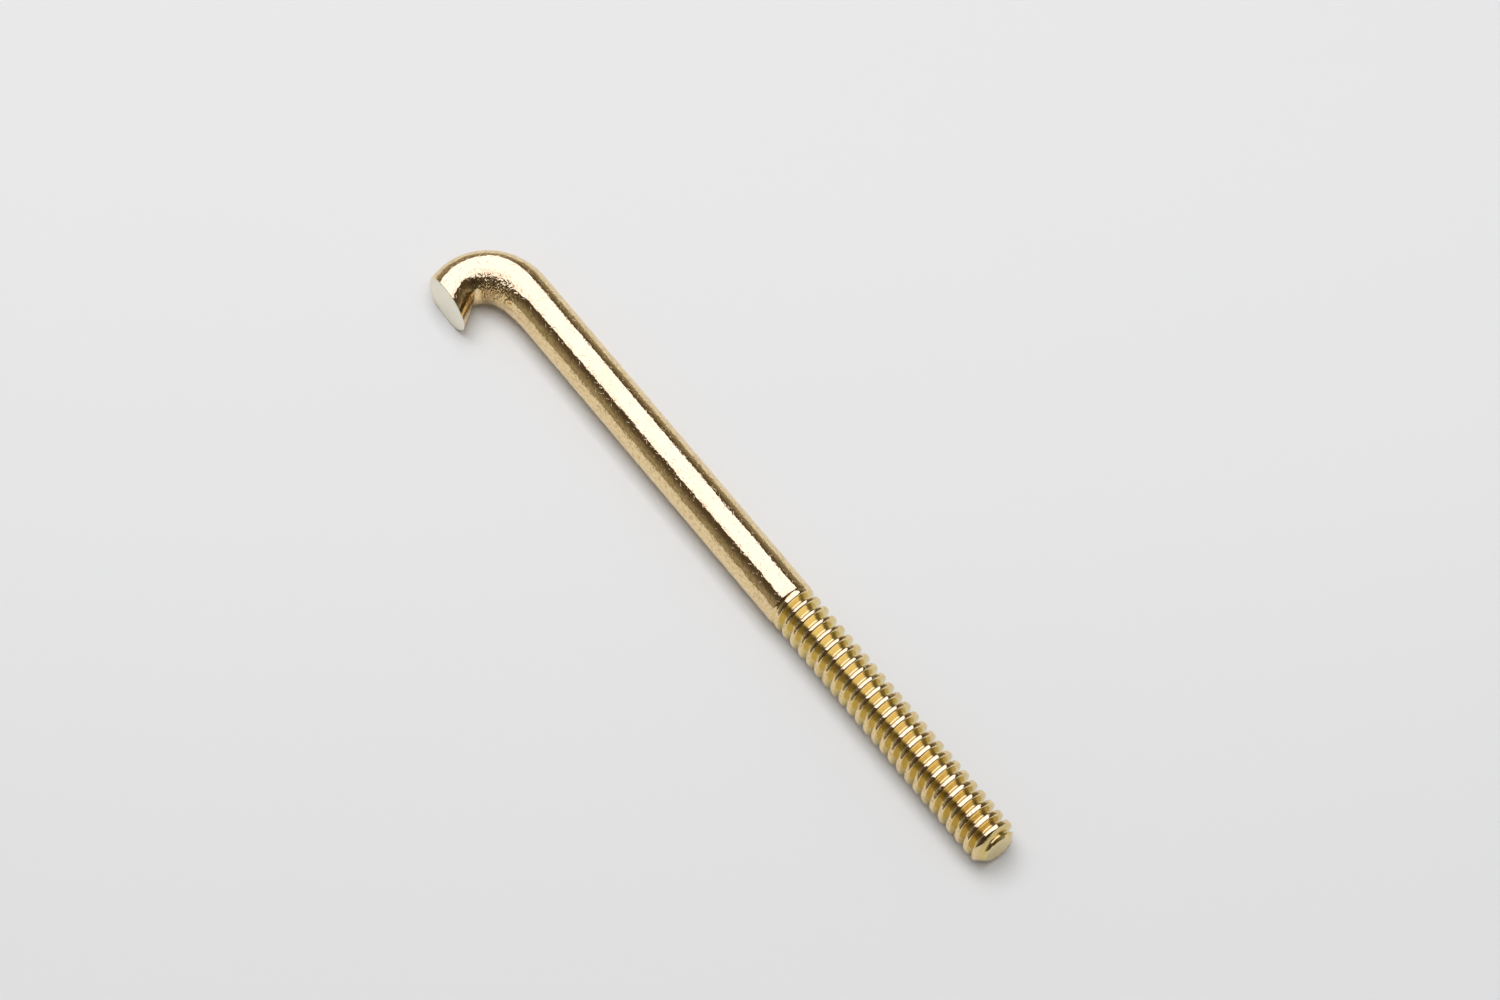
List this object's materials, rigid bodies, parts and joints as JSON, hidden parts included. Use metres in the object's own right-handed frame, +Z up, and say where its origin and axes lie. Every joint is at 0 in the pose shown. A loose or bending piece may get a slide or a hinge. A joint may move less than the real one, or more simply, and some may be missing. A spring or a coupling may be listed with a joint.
{
  "type": "hook bolt",
  "caption": "Plain brass hook bolt of round rod: a small crook with a flat-cut tip, a long straight shank and a coarse machine thread with a blunt end, for hanging or tying down.",
  "frame": {"origin": "on the shank's axis, at the shoulder where the plain shank ends and the thread starts", "axes": "+X along the shank towards the threaded end; the crook bends towards -Y; +Z up, square to the plane of the bend, as the hook lies on its side"},
  "size_m": [0.0692, 0.0082, 0.0042],
  "materials": {
    "brass": "bright drawn and turned brass, lightly scratched"
  },
  "bodies": {
    "root": {"hook": "brass"}
  },
  "joints": []
}
